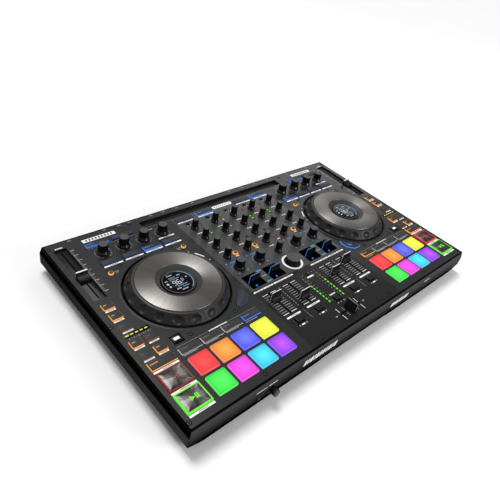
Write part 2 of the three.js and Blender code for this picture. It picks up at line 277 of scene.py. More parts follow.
M = {
    "panel": panel_material(),
    "case": surface("case_plastic", (50, 50, 51), 0.5, grain=1500.0, bump=0.10, gloss=0.02),
    # Painted shade: the front is lighter at the top and darker towards the bottom, the sides lighter at the
    # front and darker towards the rear.
    "fascia_shade": shaded_moulding("fascia_shade_plastic", 2, 33.0, 1.1,
                       [(0.0, 10), (0.2, 25), (0.5, 49), (0.8, 66), (1.0, 74)]),
    "flank_shade": shaded_moulding("flank_shade_plastic", 1, 2.4, 0.5, [(0.0, 56), (0.45, 43), (0.85, 9), (1.0, 6)]),
    # Painted shade: the sides' upper band and the low band all round are near black, without gloss.
    "shoulder_shade": surface("shoulder_shade_black", (3, 3, 3), 0.55, grain=1500.0, bump=0.10, gloss=0.0),
    "trim": surface("edge_trim_black", (4, 4, 4), 0.5, bump=0.04, gloss=0.01),
    "feet": surface("foot_rubber", (18, 18, 18), 0.85, bump=0.3),
    "rubber": surface("knob_rubber", (11, 11, 12), 0.6, grain=1800.0, bump=0.22, gloss=0.15),
    "flange": surface("knob_flange", (9, 9, 10), 0.2, bump=0.03, gloss=0.55),
    "knob_top": surface("knob_top_grey", (66, 66, 67), 0.5, vary=0.05, grain=1400.0, bump=0.08,
                        gloss=0.25),
    "black": surface("satin_black", (14, 14, 15), 0.4, grain=1400.0, bump=0.08, gloss=0.2),
    "gloss": surface("gloss_black", (5, 5, 7), 0.14, bump=0.0, gloss=0.12),
    "jog_rim": surface("jog_rim_black", (38, 38, 38), 0.40, grain=1200.0, bump=0.10, gloss=0.24),
    "funnel": surface("jog_inner_ring", (50, 50, 49), 0.5, grain=1200.0, bump=0.1, gloss=0.25),
    "ribs": surface("groove_ribs", (58, 58, 59), 0.6, grain=1200.0, bump=0.1, gloss=0.2),
    "key_top": surface("key_top_grey", (42, 43, 45), 0.5, grain=1500.0, bump=0.1, gloss=0.2),
    "white": surface("print_white", (240, 240, 238), 0.6, vary=0.04, bump=0.05, gloss=0.2),
    "pale": surface("print_pale", (142, 142, 142), 0.6, vary=0.1, bump=0.05, gloss=0.2),
    "line": surface("print_line", (104, 104, 104), 0.6, vary=0.1, bump=0.05, gloss=0.2),
    "ink": surface("print_ink", (30, 30, 31), 0.6, vary=0.1, bump=0.05, gloss=0.2),
    "screw": surface("screw_black", (60, 60, 61), 0.4, metal=0.5, bump=0.1, gloss=0.3),
    "steel": surface("socket_steel", (150, 150, 152), 0.3, metal=1.0, bump=0.08),
    "gold": surface("socket_gold", (190, 150, 84), 0.28, metal=1.0, bump=0.06),
    "sock_red": surface("socket_red", (150, 22, 22), 0.4, bump=0.06),
    # The painted reflection rays are faint on the jog discs and strong on the button faces.
    "disc": spun_metal("jog_disc_metal", (122, 119, 116), 16.0, 0.15),
    "button_face": spun_metal("button_face_metal", (104, 101, 98), 2.4, 0.75, 6000.0),
    "blue": lamp("lit_blue", (50, 132, 242), 0.98),
    "blue_dim": lamp("lit_blue_dim", (24, 46, 112), 0.7),
    "blue_pale": lamp("lit_blue_pale", (96, 160, 215), 0.72),
    "orange": lamp("lit_orange", (252, 166, 56), 1.0),
    "orange_dim": lamp("lit_orange_dim", (122, 68, 22), 0.75),
    "red": lamp("lit_red", (226, 34, 42), 0.95),
    "red_dim": lamp("lit_red_dim", (128, 2, 12), 0.85, 0.03),
    "green": lamp("lit_green", (104, 236, 50), 1.0),
    "green_dim": lamp("lit_green_dim", (50, 136, 30), 0.7),
    "yellow": lamp("lit_yellow", (240, 230, 56), 1.0),
    "yellow_dim": lamp("lit_yellow_dim", (122, 116, 30), 0.8),
    "grey_lit": lamp("lit_grey", (96, 96, 97), 0.5, 0.5),
    "screen_white": lamp("screen_white", (205, 210, 214), 0.85),
    "screen_blue": lamp("screen_blue", (98, 152, 186), 0.8),
    "screen_grey": lamp("screen_grey", (96, 98, 100), 0.7),
}


def around(r, angle, x=0.0, y=0.0):
    """The point at a distance and an angle in degrees from (x, y)."""
    t = math.radians(angle)
    return x + r * math.cos(t), y + r * math.sin(t)


def corners(x, front, back, r, steps=4):
    """A rounded rectangle from -x to x and from -front to back."""
    middles = ((x - r, back - r), (r - x, back - r), (r - x, r - front), (x - r, r - front))
    return [around(r, 90 * k + 90 * i / steps, *middles[k]) for k in range(4) for i in range(steps + 1)]


def rounded(w, d, r, steps=4):
    """A rounded rectangle; calling the result with an inset gives its points."""
    def outline(inset):
        a = w / 2 - inset
        b = d / 2 - inset
        return corners(a, b, b, max(min(r - inset * 0.6, a, b), 0.02), steps)
    return outline


def circle(segments, ribs=0, depth=0.0, phase=0.0):
    """A circle whose points are given by a radius; ribs make a fluted edge."""
    def outline(radius):
        points = []
        for i in range(segments):
            t = 2 * math.pi * i / segments + phase
            r = radius - depth * (0.5 - 0.5 * math.cos(ribs * t)) if ribs else radius
            points.append((r * math.cos(t), r * math.sin(t)))
        return points
    return outline


def polygon(points):
    """A fixed outline that shrinks towards its middle by an inset in mm."""
    cx = sum(p[0] for p in points) / len(points)
    cy = sum(p[1] for p in points) / len(points)

    def outline(inset):
        out = []
        for x, y in points:
            length = math.hypot(x - cx, y - cy)
            k = 1 - inset / length
            out.append((cx + (x - cx) * k, cy + (y - cy) * k))
        return out
    return outline


class Shape:
    """Collects faces in mm, in the panel's own frame, and makes one object from them."""

    def __init__(self):
        self.verts = []
        self.faces = []
        self.slots = []
        self.mats = []

    def slot(self, mat):
        if mat not in self.mats:
            self.mats.append(mat)
        return self.mats.index(mat)

    def skin(self, rows, mat, caps=(True, True), loop=False):
        """Joins rows of points, each to the next. A loop joins the last to the first and has no caps."""
        m = self.slot(mat)
        ids = []
        for row in rows:
            ids.append(range(len(self.verts), len(self.verts) + len(row)))
            self.verts += row
        for low, high in zip(ids, ids[1:] + ids[:1] if loop else ids[1:]):
            for i in range(len(low)):
                j = (i + 1) % len(low)
                self.face((low[i], low[j], high[j], high[i]), m)
        if not loop and caps[0]:
            self.face(tuple(reversed(ids[0])), m)
        if not loop and caps[1]:
            self.face(tuple(ids[-1]), m)
        return self

    def stack(self, outline, levels, mat, at=(0, 0), turn=0.0, caps=(True, True), loop=False):
        """Joins outlines one over another. levels are (inset or radius, z)."""
        c, s = math.cos(math.radians(turn)), math.sin(math.radians(turn))
        return self.skin([[(at[0] + x * c - y * s, at[1] + x * s + y * c, z) for x, y in outline(k)]
                          for k, z in levels], mat, caps, loop)

    def stack_y(self, x, z, profile, mat, n=28, outline=None, loop=False):
        """Joins outlines one behind another along Y. profile is (radius, y)."""
        outline = outline or circle(n)
        return self.skin([[(x + a, y, z + b) for a, b in outline(radius)] for radius, y in profile], mat,
                         loop=loop)

    def face(self, face, m):
        self.faces.append(face)
        self.slots.append(m)

    def bar(self, x, y, w, d, mat, z0=-0.02, z1=0.08, r=0.3, turn=0.0):
        """A thin printed or set-in rounded bar, by its middle."""
        top = min(0.06, (z1 - z0) / 3)
        self.stack(rounded(w, d, r, 2), [(0, z0), (0, z1 - top), (top, z1)], mat, (x, y), turn)
        return self

    def bars(self, mat, *rows, **style):
        for row in rows:
            self.bar(*row, mat, **style)

    def dot(self, x, y, r, mat, z0=-0.02, z1=0.08, n=14):
        self.stack(circle(n), [(r, z0), (r, z1 - 0.03), (r * 0.93, z1)], mat, (x, y))
        return self

    def word(self, x, y, w, h, mat, z0=-0.02, z1=0.08):
        """A row of small marks that stands for a printed word; it spells nothing."""
        widths = (2.0, 1.3, 1.7, 2.3, 1.1, 1.9)
        left = -w / 2
        i = int(abs(x * 3 + y)) % 6
        while left < w / 2 - 0.6:
            mark = min(widths[i % 6] * h / 2.2, w / 2 - left)
            self.bar(x + left + mark / 2, y, mark, h, mat, z0, z1, 0.15)
            left += mark + 0.28 * h
            i += 1

    def tag(self, x, y, w, h):
        """A light printed label with small dark marks on it."""
        self.bar(x, y, w, h, "white", r=0.5)
        if w > 6:
            self.word(x + w * 0.04, y, min(w * 0.6, 16), h * 0.42, "ink", 0.02, 0.12)

    def key(self, x, y, w, d, lit):
        """A lit translucent key with a painted top and a small lit mark."""
        h, edge = 2.5, 0.4
        outline = rounded(w, d, 0.7, 3)
        self.stack(outline, [(0, -0.5), (0, h - 0.5), (0.25, h - 0.06), (edge, h)], lit, (x, y))
        self.stack(outline, [(edge, h - 0.3), (edge, h + 0.12), (edge + 0.2, h + 0.2)], "key_top", (x, y))
        self.word(x - w / 2 + 3.2 + w * 0.14, y + d * 0.16, w * 0.3, 1.5, lit, h + 0.1, h + 0.26)

    def prism(self, profile, x0, x1, mat, turn=0.0):
        """A Y-Z profile carried along X, then turned about Z."""
        c, s = math.cos(math.radians(turn)), math.sin(math.radians(turn))
        self.skin([[(x * c - y * s, x * s + y * c, z) for y, z in profile] for x in (x0, x1)], mat)

    def arc(self, x, y, r0, r1, a0, a1, mat, z0=-0.02, z1=0.08, steps=16):
        """A flat curved bar from angle a0 to a1, in degrees."""
        self.skin([[(*around(r, a0 + (a1 - a0) * i / steps, x, y), z)
                    for r, z in ((r0, z0), (r1, z0), (r1, z1), (r0, z1))] for i in range(steps + 1)], mat)

    def mesh(self, name):
        me = bpy.data.meshes.new(name)
        me.from_pydata([tuple(c * MM for c in v) for v in self.verts], [], self.faces)
        return me

    def make(self, name, body=ROOT, nodes=(), at=(0, 0, 0), smooth=32, bevel=0.0, edit=None):
        """Makes the object. at is its own origin, in mm in the panel's frame."""
        return place(name, self.finished(name, smooth), body, nodes, at, bevel, edit)

    def finished(self, name, smooth=32):
        """The mesh with its materials, its normals and its sharp edges."""
        me = self.mesh(name)
        for mat in self.mats:
            me.materials.append(M[mat])
        me.polygons.foreach_set("material_index", self.slots)
        bm = bmesh.new()
        bm.from_mesh(me)
        bmesh.ops.recalc_face_normals(bm, faces=bm.faces)
        bm.to_mesh(me)
        bm.free()
        soften(me, smooth)
        me.update()
        return me


def soften(mesh, angle):
    """Smooth shading, with sharp edges above an angle in degrees."""
    mesh.polygons.foreach_set("use_smooth", [True] * len(mesh.polygons))
    mesh.set_sharp_from_angle(angle=math.radians(angle))


def link_object(name, data):
    obj = bpy.data.objects.new(name, data)
    SCENE.collection.objects.link(obj)
    return obj


def place(name, mesh, body, nodes=(), at=(0, 0, 0), bevel=0.0, edit=None):
    """Puts a mesh in the scene, on its body and with its finish. at is in mm in the panel's frame."""
    obj = link_object(name, mesh)
    obj.location = (at[0] * MM, (at[1] + PY) * MM, (at[2] + PZ) * MM)
    if bevel:
        mod = obj.modifiers.new("soft_edges", "BEVEL")
        mod.width = bevel * MM
        mod.segments = 2
        mod.limit_method = "ANGLE"
        mod.angle_limit = math.radians(40)
    if edit:
        edit(obj)
    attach(obj, body)
    if nodes:
        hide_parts(*nodes)
    return obj


def centre(node):
    """A node's middle in X and Y and its top, in mm in the panel's frame."""
    low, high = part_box(node)
    return (low.x + high.x) / 2 / MM, (low.y + high.y) / 2 / MM - PY, high.z / MM - PZ


# ---- camera, floor and light ----------------------------------------------------------------
def camera():
    azimuth, elevation, roll = (math.radians(a) for a in (50.196, 37.134, 13.143))
    level = math.cos(elevation)
    look = Vector((math.sin(azimuth) * level, math.cos(azimuth) * level, -math.sin(elevation)))
    right = look.cross(Vector((0, 0, 1))).normalized()
    up = right.cross(look)
    r = right * math.cos(roll) + up * math.sin(roll)
    u = up * math.cos(roll) - right * math.sin(roll)
    cam = link_object("camera", bpy.data.cameras.new("camera"))
    m = Matrix((r, u, -look)).transposed().to_4x4()
    m.translation = Vector((-0.61523, -0.44675 + PY * MM, 0.55968 + PZ * MM))
    cam.matrix_world = m
    cam.data.sensor_width = 36
    cam.data.lens = 35.81
    cam.data.clip_start = 0.01
    SCENE.camera = cam


def floor_and_world():
    me = bpy.data.meshes.new("floor")
    me.from_pydata([(-60, -60, 0), (60, -60, 0), (60, 60, 0), (-60, 60, 0)], [], [(0, 1, 2, 3)])
    floor = link_object("floor", me)
    n = Nodes("floor_paper")
    tone = n.ramp(n.noise(3.0, 2.0), [(0.2, (0.93, 0.93, 0.93)), (0.8, (0.95, 0.95, 0.95))])
    n.drive("Base Color", tone)
    n.set(Roughness=0.9, Specular_IOR_Level=0.1)
    me.materials.append(n.mat)

    # The background is brighter to the camera than as a light.
    world = bpy.data.worlds.new("studio")
    SCENE.world = world
    world.use_nodes = True
    tree = world.node_tree
    lit = tree.nodes["Background"]
    lit.inputs["Color"].default_value = (1, 1, 1, 1)
    lit.inputs["Strength"].default_value = 0.36
    seen = tree.nodes.new("ShaderNodeBackground")
    seen.inputs["Color"].default_value = (0.96, 0.96, 0.96, 1)
    path = tree.nodes.new("ShaderNodeLightPath")
    pick = tree.nodes.new("ShaderNodeMixShader")
    for a, b in ((path.outputs["Is Camera Ray"], pick.inputs[0]), (lit.outputs[0], pick.inputs[1]),
                 (seen.outputs[0], pick.inputs[2]),
                 (pick.outputs[0], tree.nodes["World Output"].inputs["Surface"])):
        tree.links.new(a, b)


def aim(light, start, end):
    light.rotation_euler = (Vector(end) - Vector(start)).to_track_quat("-Z", "Y").to_euler()


def lights():
    sky = bpy.data.lights.new("overhead", "SUN")
    sky.energy = 2.3
    sky.angle = math.radians(26)
    aim(link_object("overhead", sky), (0.12, 0.75, 1.6), (0, 0, 0))
    for name, loc, size, power in (
        ("rear_softbox", (1.74, 1.46, 1.0), (1.5, 0.8), 6),
        ("front_softbox", (0.9, -2.0, 1.1), (1.2, 0.5), 24),
    ):
        light = bpy.data.lights.new(name, "AREA")
        light.shape = "RECTANGLE"
        light.size, light.size_y = size
        light.energy = power
        obj = link_object(name, light)
        obj.location = loc
        aim(obj, loc, (0, 0, 0.03))
    SCENE.view_settings.view_transform = "Standard"


# ---- case and panel -------------------------------------------------------------------------
def apply_modifiers(obj):
    bpy.context.view_layer.update()
    graph = bpy.context.evaluated_depsgraph_get()
    me = bpy.data.meshes.new_from_object(obj.evaluated_get(graph))
    obj.modifiers.clear()
    obj.data = me


def cutters(shapes):
    """An edit for Shape.make that cuts the shapes out of the piece."""
    def edit(obj):
        tools = []
        for i, shape in enumerate(shapes):
            tool = link_object(f"cut_{i}", shape.mesh(f"cut_{i}"))
            tool.location = obj.location
            mod = obj.modifiers.new("cut", "BOOLEAN")
            mod.operation = "DIFFERENCE"
            mod.solver = "EXACT"
            mod.object = tool
            tools.append(tool)
        apply_modifiers(obj)
        for tool in tools:
            bpy.data.objects.remove(tool)
        soften(obj.data, 28)
    return edit


def case_levels(*rows):
    """Levels of the case's outline, each as how far it stands past the panel at the side, the front
    and the back, its corner radius, and z."""
    return [((HALF_W + side, HALF_D + front, HALF_D + back, r), z) for side, front, back, r, z in rows]


def case():
    def outline(level):
        return corners(*level)

    outer = case_levels(
        (-27.5, 0.4, -9.0, 1.2, -46), (-26.2, 1.2, -8.0, 1.2, -45.75), (-15.8, 1.9, -4.0, 1.4, -42),
        (2.4, 2.7, 2.6, 1.6, -34.6), (3.3, 3.0, 3.4, 1.6, -33.4), (3.6, 3.2, 3.6, 1.6, -32),
        (3.6, 3.6, 3.6, 1.6, -24), (3.6, 3.5, 3.6, 1.6, -17), (3.6, 3.1, 3.6, 1.6, -12.4),
        (3.3, 2.8, 3.3, 1.6, -10.6), (2.2, 2.1, 2.2, 1.5, -6.6), (1.2, 1.1, 1.2, 1.4, -3.0),
        (0.9, 0.7, 0.9, 1.4, -2.3))
    inner = case_levels(
        (-2.0, -2.0, -2.0, 1.0, -2.3), (1.0, 1.0, 1.0, 1.0, -11.5), (1.0, 1.0, 1.0, 1.0, -32.5),
        (-18.5, 0.0, -6.6, 1.0, -41.0), (-29.5, -2.0, -12.0, 1.0, -43.2))
    shell = Shape().stack(outline, outer + inner, "case")
    dark, front, flank_shade = (shell.slot(mat) for mat in ("shoulder_shade", "fascia_shade", "flank_shade"))
    for k, face in enumerate(shell.faces):
        if len(face) != 4:
            continue
        points = [shell.verts[v] for v in face]
        on_side = abs(sum(p[0] for p in points)) / 4 > HALF_W + 0.4
        on_front = sum(p[1] for p in points) / 4 < 0.3 - HALF_D
        lowest, highest = min(p[2] for p in points), max(p[2] for p in points)
        # The sides' upper band and the low band all round are painted near black, a painted shade; the front
        # and the rest of the sides get their painted shade gradients.
        if on_side and lowest > -12.5 or highest < -33.3:
            shell.slots[k] = dark
        elif on_front and highest < -2.2:
            shell.slots[k] = front
        elif on_side:
            shell.slots[k] = flank_shade
    holes = [Shape().stack(rounded(190, 440, 0.1, 1), [(0, -60), (0, -46.2), (4.2, -41.98)], "case")]
    for x, z, r in ((-235, -24, 3.4), (215, -21, 3.4), (-213, -24, 3.7)):
        holes.append(Shape().stack_y(x, z, [(r, -230), (r, -190)], "case", 24))
    shell.make("case_shell", nodes=("bottom_case",), edit=cutters(holes))
    floor = Shape().stack(rounded(197, 396, 1, 2), [(0, -42.9), (0, -39.6)], "case", (0, -4))
    floor.make("case_middle_floor")
    feet = Shape()
    foot = [(6, -48.6), (7, -49), (11.2, -49), (12, -48.2), (12, -45.7), (10.5, -45.2)]
    for x in (-300, -125, 125, 300):
        for y in (-180, 175):
            feet.stack(circle(36), foot, "feet", (x, y))
    feet.make("rubber_feet")

    trim = Shape().stack(outline, case_levels(
        (1.1, 1.1, 1.1, 1.4, -2.9), (1.1, 1.1, 1.1, 1.4, -0.9), (0.5, 0.5, 0.5, 1.2, 0.05),
        (-1.5, -1.5, -1.5, 1.0, 0.12), (-1.7, -1.7, -1.7, 1.0, 0.02), (0.1, 0.1, 0.1, 1.2, 0.0),
        (0.1, 0.1, 0.1, 1.2, -2.9)), "trim", loop=True)
    trim.make("panel_edge_trim")

    sockets = Shape()
    for x, z in ((-235, -24), (215, -21)):
        sockets.stack_y(x, z, [(3.3, -196), (3.3, -196.4)], "gloss", 24)
        for profile in ([(3.25, -210.9), (4.9, -211.5), (5.6, -211.1), (5.6, -209.6), (3.25, -209.6)],
                        [(3.28, -209.6), (5.6, -209.6), (5.6, -196.4), (3.28, -196.4)]):
            sockets.stack_y(x, z, profile, "black", loop=True)
    sockets.make("front_sockets")
    marks = Shape()
    for x0, x1, z in ((-245.8, -224.5, -12.6), (-222.0, -204.0, -12.4), (206, 226, -11.8)):
        front_bar(marks, x0, x1, z - 0.65, z + 0.65, "white")
    front_bar(marks, -237.2, -233.6, -33.4, -32.4, "pale")
    front_bar(marks, -217.6, -215.6, -32.4, -31.2, "pale")
    marks.make("front_printed_lines")
    words = Shape()
    for x0, x1, z0, z1 in ((-146, -63, -22.5, -12.0), (92, 152, -21.5, -12.5)):
        front_word(words, x0, x1, z0, z1, "white")
    words.make("front_plain_marks")


def rear_sockets():
    """Sockets on the back. Their kinds are a guess, and their places follow the printed marks above."""
    s = Shape()
    y = REAR_Y

    def plate(x, w, h, mat="black", out=0.5):
        front_bar(s, x - w / 2, x + w / 2, -22 - h / 2, -22 + h / 2, mat, y - 0.4, 0.4 + out)

    def hole(x, z, r, mat="trim", out=0.0, depth=0.3):
        s.stack_y(x, z, [(r, y + out), (r, y + out + depth)], mat)

    def ring(x, z, mat, *profile):
        s.stack_y(x, z, [(r, y + out) for r, out in profile], mat, loop=True)

    def rca(x):
        plate(x, 13, 30)
        for z, mat in ((-15.5, "steel"), (-28.5, "sock_red")):
            ring(x, z, mat, (4.4, 0), (4.4, 1.5), (3.0, 1.5), (3.0, 0))
            ring(x, z, "gold", (2.6, 0), (2.6, 3.8), (2.0, 3.8), (2.0, 0))
            hole(x, z, 1.9, "ink", 0.2)

    def jack(x, z, r=5.4):
        ring(x, z, "black", (r, 0), (r, 1.2), (r - 0.5, 1.6), (3.4, 1.6), (3.3, 0))
        hole(x, z, 3.2, "trim", 0.1)

    def usb(x):
        plate(x, 14, 13, "steel", 0.8)
        front_bar(s, x - 4.2, x + 4.2, -25.8, -18.2, "trim", y + 0.35, 0.6)
        front_bar(s, x - 2.6, x + 2.6, -23.4, -20.6, "white", y + 0.8, 0.3)

    def xlr(x):
        plate(x, 26, 28, out=0.8)
        ring(x, -22, "steel", (11.4, 0), (11.4, 1.4), (10.4, 1.8), (9.6, 1.4), (9.6, 0))
        hole(x, -22, 9.5, "trim", 0.5, 0.4)
        for k in range(3):
            s.stack_y(*around(4.2, 90 + 120 * k, x, -22), [(1.2, y + 0.6), (1.2, y + 1.3)], "gold", 12)

    plate(314, 22, 15, out=0.9)
    front_bar(s, 305.5, 322.5, -27.4, -16.6, "trim", y + 0.6, 0.5)
    front_bar(s, 306.5, 313.8, -26.4, -17.6, "key_top", y + 0.8, 1.1)
    front_bar(s, 314.2, 321.5, -26.4, -17.6, "key_top", y + 0.8, 0.5)
    jack(270, -22, 5.0)
    for x in (232, 197):
        usb(x)
    for x in (163, 135, 107, 79):
        rca(x)
    for x in (49, 25):
        jack(x, -15.5)
        jack(x, -29.0)
    rca(-6)
    for x in (-42, -84, -126, -168):
        xlr(x)
    for x in (-212, -240):
        jack(x, -22)
    plate(-285, 12, 7, "black", 0.6)
    s.stack_y(-285, -22, [(0.9, y + 0.8), (0.9, y + 1.3)], "trim", 12)
    s.make("rear_sockets", smooth=35)
    screws = Shape()
    for x in (-350, -311, -190, -62, 8, 92, 180, 290, 350):
        for z in (-13, -31):
            screws.stack_y(x, z, [(2.2, y), (2.2, y + 0.35), (1.6, y + 0.6)], "screw", 18)
    screws.make("rear_screws", smooth=35)


def front_bar(shape, x0, x1, z0, z1, mat, y=FRONT_Y, t=0.35):
    """A box on the front or the back, from y to y + t."""
    shape.skin([[(x0, yy, z0), (x1, yy, z0), (x1, yy, z1), (x0, yy, z1)] for yy in (y, y + t)], mat)


def front_word(shape, x0, x1, z0, z1, mat):
    """A row of slanted plain marks on the front, in place of a printed name; it spells nothing."""
    widths = (5.2, 3.4, 6.4, 2.6, 5.8, 4.2)
    lean = 0.35 * (z1 - z0)
    i = 0
    while x0 < x1 - 3:
        width = min(widths[i % 6], x1 - x0)
        first = len(shape.verts)
        front_bar(shape, x0, x0 + width, z0, z1, mat, -211.1, 0.95)
        for k in range(first, len(shape.verts)):
            x, y, z = shape.verts[k]
            shape.verts[k] = (x + lean * (z - z0) / (z1 - z0), y, z)
        x0 += width + 2.7
        i += 1


def paint(node, mat):
    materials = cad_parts[node].data.materials
    materials.clear()
    materials.append(mat)


def panel():
    paint("top_plate", M["panel"])
    n = Nodes("solder_mask")
    cells = n.add("ShaderNodeTexBrick")
    for socket, value in (("Scale", 60), ("Color1", (0.01, 0.06, 0.03, 1)),
                          ("Color2", (0.015, 0.09, 0.04, 1)), ("Mortar", (0.25, 0.2, 0.05, 1))):
        cells.inputs[socket].default_value = value
    n.link(n.coord, cells.inputs["Vector"])
    n.drive("Base Color", cells.outputs["Color"])
    paint("main_board", n.mat)

    liner = Shape()
    y = GROOVE_Y
    liner.stack(rounded(363.4, 18.9, 1.2), [(0, -9.9), (0, -8.8), (0.4, -8.5)], "ribs", (0, y))
    for dy in (-6.2, -2.0, 2.2, 6.4):
        liner.stack(rounded(358, 1.5, 0.7), [(0, -8.8), (0, -7.6), (0.4, -7.2)], "key_top", (0, y + dy))
    for z in (-2.0, -4.4):
        front_bar(liner, -181, 181, z - 0.35, z + 0.35, "trim", y + 9.2, 0.5)
    front_bar(liner, -181.6, 181.6, -0.9, 0.06, "line", y - 9.9, 0.45)
    liner.make("tablet_groove_liner")
    for side, label in ((-1, "left"), (1, "right")):
        s = Shape()
        at = (side * PITCH_X, PITCH_Y)
        s.stack(rounded(21.4, 135.4, 1), [(0, -3.45), (0, -3.2), (0.2, -3.1)], "black", at)
        s.bar(*at, 2.6, 124, "trim", -3.15, -2.95)
        s.make(f"pitch_recess_{label}")


# ---- jog wheels -----------------------------------------------------------------------------
def jog_rim():
    """The wheel's rim. Its slope has finger dimples, with two fine grooves between each pair."""
    segments, rows = 900, 22
    run, rise = 9.8, 12.6                           # of the slope, inwards and upwards
    dimples, phase = 18, math.radians(14)
    half_w, half_h, deepest = 8.2, 6.9, 2.6         # of a dimple
    cell = 2 * math.pi / dimples
    slope = math.hypot(run, rise)
    levels = [(78.0, -5.0), (86.2, -5.0), (86.5, -4.6), (86.5, -0.2), (86.45, 0.6)]
    first = len(levels)
    levels += [(86.3 - run * i / rows, 1.0 + rise * i / rows) for i in range(rows + 1)]
    levels += [(76.0, 14.3), (75.3, 14.75), (74.2, 14.95), (71.6, 15.0), (71.3, 14.6), (71.3, 10.0),
               (78.0, 9.0)]

    def cut(r, t, along):
        offset = ((t - phase + cell / 2) % cell - cell / 2) * r
        d = (offset / half_w) ** 2 + (along / half_h) ** 2
        depth = deepest * (1 - d) ** 0.55 if d < 1 else 0.0
        if abs(along) < 6.6:
            gap = (abs(offset) - cell * r / 2) * (1 if offset > 0 else -1)
            for line in (-1.3, 1.3):
                depth = max(depth, 0.42 * (1 - abs(gap - line + along * 0.22) / 0.75))
        return depth / slope

    points = []
    for k, (r, z) in enumerate(levels):
        along = ((k - first) / rows - 0.5) * slope
        row = []
        for i in range(segments):
            t = 2 * math.pi * i / segments
            depth = cut(r, t, along) if first <= k <= first + rows else 0.0
            rr = r - depth * rise
            row.append((rr * math.cos(t), rr * math.sin(t), z - depth * run))
        points.append(row)
    return Shape().skin(points, "jog_rim", loop=True)


def jog(label):
    wheel = f"jog_wheel_{label}"
    x, y, top = centre(wheel)
    at = (x, y, 0)
    jog_rim().make(f"jog_rim_{label}", wheel, (wheel,), at, 50)
    disc = Shape().stack(circle(180), [(39.0, 12.4), (71.0, 12.4), (71.0, 15.3), (70.6, 15.8), (70.0, 16.0),
                                       (39.2, 16.0), (38.6, 15.8), (38.4, 15.4)], "disc", loop=True)
    disc.make(f"jog_disc_{label}", wheel, (wheel,), at, 30)
    inner = Shape().stack(circle(120), [(38.3, 12.4), (38.3, 15.2), (37.6, 15.5), (37.0, 15.3), (31.0, 11.0),
                                        (29.4, 10.2), (29.2, 8.6), (30.0, 8.4)], "funnel", loop=True)
    inner.make(f"jog_inner_ring_{label}", wheel, (wheel,), at, 30)

    bezel = Shape()
    bezel.stack(circle(160), [(91.0, -0.2), (91.0, -6.0), (89.6, -6.0), (90.0, 0.2), (90.6, 0.5), (91.8, 0.5),
                              (92.3, 0.25), (92.3, -0.2)], "black", loop=True)
    bezel.stack(circle(96), [(91.0, -8.0), (91.0, -7.0)], "gloss")
    bezel.stack(circle(160), [(92.1, -0.2), (92.1, 0.22), (93.7, 0.22), (94.0, 0.1), (94.0, -0.2)], "jog_rim",
                loop=True)
    bezel.make(f"jog_bezel_{label}", at=at, smooth=40)

    head = Shape()
    head.stack(circle(96), [(19, -20), (19, 8.7), (27.6, 8.8), (28, 9.2), (28, 11.6), (27.7, 12.2),
                            (27.2, 12.5), (26.9, 12.4), (26.7, 12.0)], "funnel")
    head.stack(circle(96), [(26.75, 11.0), (26.75, 11.96), (26.4, 12.02)], "gloss")
    head.make(f"jog_display_body_{label}", ROOT, (f"jog_display_{label}",), at, 30)
    screen(at, label)


SEGMENTS = {"0": "abcdef", "6": "afgedc", "9": "abcdfg"}


def digit(shape, ch, x, y, h, mat, z):
    """A seven-segment digit, h high between the middles of its top and bottom bars."""
    w = h * 0.5
    t = h * 0.13
    spots = {
        "a": (0, h / 2, w, t), "d": (0, -h / 2, w, t), "g": (0, 0, w, t),
        "f": (-w / 2, h / 4, t, h / 2), "b": (w / 2, h / 4, t, h / 2),
        "e": (-w / 2, -h / 4, t, h / 2), "c": (w / 2, -h / 4, t, h / 2),
    }
    for key in SEGMENTS[ch]:
        dx, dy, sw, sd = spots[key]
        shape.bar(x + dx, y + dy, sw, sd, mat, z, z + 0.12, 0.1)


def screen(at, label):
    """Generic contents for a jog display: rings, digits and rows of plain marks."""
    s = Shape()
    z = 12.0
    up = z + 0.12
    for r0, r1, a0, a1, mat, steps in (
        (26.0, 26.5, 0, 360, "screen_grey", 72), (23.6, 25.2, -58, 64, "screen_blue", 40),
        (24.2, 24.7, 64, 118, "screen_blue", 24), (13.6, 14.0, 20, 340, "screen_grey", 48),
    ):
        s.arc(0, 0, r0, r1, a0, a1, mat, z, up, steps)
    for ch, x, y, h in (("9", -7.6, -0.4, 9.6), ("6", 0.2, -0.4, 9.6), ("0", 8.2, 1.4, 5.6)):
        digit(s, ch, x, y, h, "screen_white", z)
    s.dot(4.2, -4.8, 0.7, "screen_white", z, up)
    for word in ((-3.0, 8.6, 17, 2.4), (-5.5, 12.6, 12, 2.4), (2.0, -9.0, 18, 2.4), (6.0, -13.4, 12, 2.2)):
        s.word(*word, "screen_blue", z, up)
    for word in ((9.0, 14.0, 7, 2.0), (-6.0, 18.6, 10, 1.8), (-18.0, 9.0, 5, 2.0), (17.8, 4.0, 4, 2.0),
                 (-8.4, -14.0, 8, 2.0), (0.5, -18.8, 11, 1.8)):
        s.word(*word, "screen_white", z, up)
    s.bars("screen_white", (-19.2, 2.2, 4.0, 4.0), (-18.6, -4.8, 3.4, 3.0), z0=z, z1=up, r=0.6)
    s.make(f"jog_screen_marks_{label}", at=at)


# ---- pads and transport buttons ---------------------------------------------------------------
PAD_COLOURS = [
    [("red", (246, 30, 42), (255, 72, 74)), ("amber", (250, 132, 32), (255, 180, 70)),
     ("violet", (66, 70, 238), (114, 127, 255)), ("lemon", (236, 240, 30), (252, 255, 80))],
    [("green", (30, 232, 52), (78, 255, 96)), ("pink", (240, 38, 226), (255, 84, 250)),
     ("aqua", (36, 196, 248), (80, 248, 255)), ("purple", (128, 40, 240), (206, 82, 250))],
]


